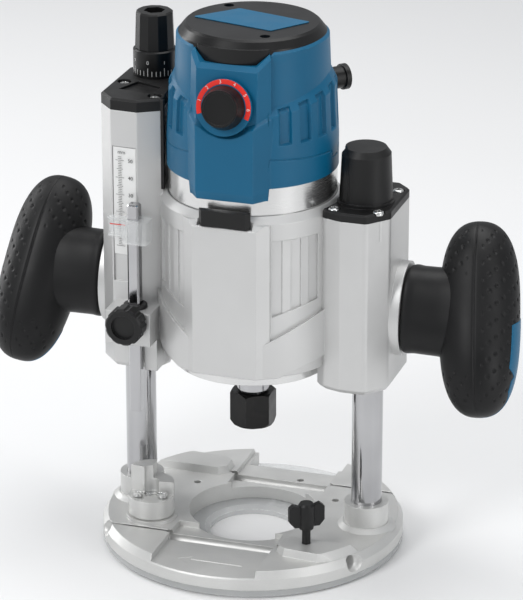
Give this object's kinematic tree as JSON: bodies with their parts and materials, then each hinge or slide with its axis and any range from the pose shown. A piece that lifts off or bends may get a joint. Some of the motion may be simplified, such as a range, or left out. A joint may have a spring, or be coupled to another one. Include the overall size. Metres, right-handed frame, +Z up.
{
  "type": "plunge router",
  "caption": "Upright woodworking router: a motor carriage with side handles slides down two columns on a round base, with depth stop, turret and speed dial.",
  "frame": {"origin": "on the spindle axis, in the plane of the base's sole", "axes": "+Z up along the spindle, +X to the right seen from in front, +Y to the rear"},
  "size_m": [0.3158, 0.178, 0.318],
  "materials": {
    "cast_aluminium": "fine-grained cast surface, satin",
    "clear_plastic": "clear polycarbonate",
    "zinc_steel": "zinc plated",
    "polished_steel": "ground and polished",
    "black_plastic": "fine grain",
    "soft_grip": "soft overmould with dimples",
    "blue_plastic": "satin moulded",
    "rubber_ring": "matt",
    "white_scale": "printed strip",
    "red_scale": "printed ring",
    "bronze": "sintered",
    "spring_steel": "bright",
    "bearing_steel": "ground",
    "black_oxide": "black oxide",
    "collet_steel": "ground",
    "laminations": "stacked sheet",
    "copper": "lacquered copper",
    "carbon": "pressed carbon",
    "circuit_board": "lacquered",
    "fan_plastic": "moulded"
  },
  "bodies": {
    "base": {"base_casting": "cast_aluminium", "sole_plate": "clear_plastic", "sole_plate_screws": "zinc_steel", "left_column": "polished_steel", "right_column": "polished_steel", "column_bolts": "zinc_steel", "turret_pivot_screw": "zinc_steel"},
    "turret": {"turret": "cast_aluminium", "turret_adjusting_screws": "zinc_steel"},
    "wing_screw": {"wing_screw": "black_plastic"},
    "carriage": {"plunge_housing": "cast_aluminium", "column_bushings": "bronze", "left_tower_cap": "black_plastic", "left_cap_screws": "zinc_steel", "right_tower_cap": "black_plastic", "right_cap_screws": "zinc_steel", "depth_scale": "white_scale", "rod_seal_ring": "rubber_ring", "plunge_springs": "spring_steel", "motor_clamp_bolt": "zinc_steel", "right_handle": "soft_grip", "left_handle": "soft_grip", "right_rear_shell": "blue_plastic", "left_rear_shell": "blue_plastic", "handle_bolts": "zinc_steel"},
    "stop_rod": {"stop_rod": "zinc_steel"},
    "depth_cursor": {"depth_cursor": "clear_plastic"},
    "clamp_knob": {"clamp_knob": "black_plastic"},
    "fine_adjuster": {"fine_adjust_scale": "black_plastic", "fine_adjust_knob": "black_plastic", "fine_adjust_screw": "spring_steel"},
    "plunge_lock_lever": {"plunge_lock_lever": "black_plastic"},
    "motor_clamp_lever": {"motor_clamp_lever": "black_plastic"},
    "front_latch": {"front_latch": "black_plastic"},
    "trigger": {"trigger": "soft_grip"},
    "lock_button": {"lock_button": "blue_plastic"},
    "motor": {"motor_barrel": "polished_steel", "bearing_cover": "polished_steel", "lower_bearing": "bearing_steel", "upper_bearing": "bearing_steel", "upper_bearing_seat": "cast_aluminium", "motor_cover": "blue_plastic", "top_cap": "black_plastic", "top_screws": "zinc_steel", "cap_label": "blue_plastic", "dial_bezel": "red_scale", "speed_control_board": "circuit_board", "cord_gland": "black_plastic", "stator_core": "laminations", "field_windings": "copper", "brush_holders": "black_plastic", "carbon_brushes": "carbon"},
    "speed_dial": {"speed_dial": "black_plastic"},
    "spindle": {"spindle": "spring_steel", "collet": "collet_steel", "collet_nut": "black_oxide", "armature_core": "laminations", "armature_windings": "copper", "commutator": "copper", "cooling_fan": "fan_plastic"}
  },
  "joints": [
    {"name": "plunge", "type": "slide", "parent": "base", "child": "carriage", "axis": [0, 0, -1], "range_m": [0, 0.052], "stiffness_N_per_m": 500, "springref_m": -0.2, "deforming": ["plunge_springs"]},
    {"name": "motor_lift", "type": "slide", "parent": "carriage", "child": "motor", "axis": [0, 0, 1], "range_m": [0, 0.105]},
    {"name": "spindle_spin", "type": "hinge", "parent": "motor", "child": "spindle", "pos_m": [0, 0, 0.15], "axis": [0, 0, 1], "continuous": true},
    {"name": "speed_dial_turn", "type": "hinge", "parent": "motor", "child": "speed_dial", "pos_m": [0, -0.0508, 0.282], "axis": [0, -0.9781, 0.2079], "range_deg": [0, 205]},
    {"name": "turret_turn", "type": "hinge", "parent": "base", "child": "turret", "pos_m": [-0.054, -0.028, 0.02], "axis": [0, 0, 1], "continuous": true},
    {"name": "wing_screw_turn", "type": "hinge", "parent": "base", "child": "wing_screw", "pos_m": [0.047, -0.0455, 0.03], "axis": [0, 0, 1], "range_deg": [0, 180]},
    {"name": "stop_rod_slide", "type": "slide", "parent": "carriage", "child": "stop_rod", "axis": [0, 0, 1], "range_m": [0, 0.05]},
    {"name": "depth_cursor_slide", "type": "slide", "parent": "stop_rod", "child": "depth_cursor", "axis": [0, 0, 1], "range_m": [-0.03, 0.008]},
    {"name": "clamp_knob_turn", "type": "hinge", "parent": "carriage", "child": "clamp_knob", "pos_m": [-0.0602, -0.05, 0.1448], "axis": [0, -1, 0], "range_deg": [0, 90]},
    {"name": "fine_adjust_turn", "type": "hinge", "parent": "carriage", "child": "fine_adjuster", "pos_m": [-0.068, 0.026, 0.28], "axis": [0, 0, 1], "continuous": true},
    {"name": "plunge_lock_turn", "type": "hinge", "parent": "carriage", "child": "plunge_lock_lever", "pos_m": [-0.0698, 0.05, 0.14], "axis": [0, 1, 0], "range_deg": [0, 35], "stiffness_Nm_per_rad": 0.3, "springref_deg": -17.19},
    {"name": "motor_clamp_turn", "type": "hinge", "parent": "carriage", "child": "motor_clamp_lever", "pos_m": [-0.022, 0.058, 0.164], "axis": [1, 0, 0], "range_deg": [0, 120]},
    {"name": "front_latch_turn", "type": "hinge", "parent": "carriage", "child": "front_latch", "pos_m": [0, -0.0543, 0.2123], "axis": [1, 0, 0], "range_deg": [0, 15], "stiffness_Nm_per_rad": 0.05, "springref_deg": -17.19},
    {"name": "trigger_pull", "type": "slide", "parent": "carriage", "child": "trigger", "axis": [-0.5256, -0.7829, 0.3329], "range_m": [0, 0.004], "stiffness_N_per_m": 600, "springref_m": -0.004},
    {"name": "lock_button_press", "type": "slide", "parent": "carriage", "child": "lock_button", "axis": [-0.5256, -0.7829, 0.3329], "range_m": [0, 0.003], "stiffness_N_per_m": 400, "springref_m": -0.003}
  ]
}
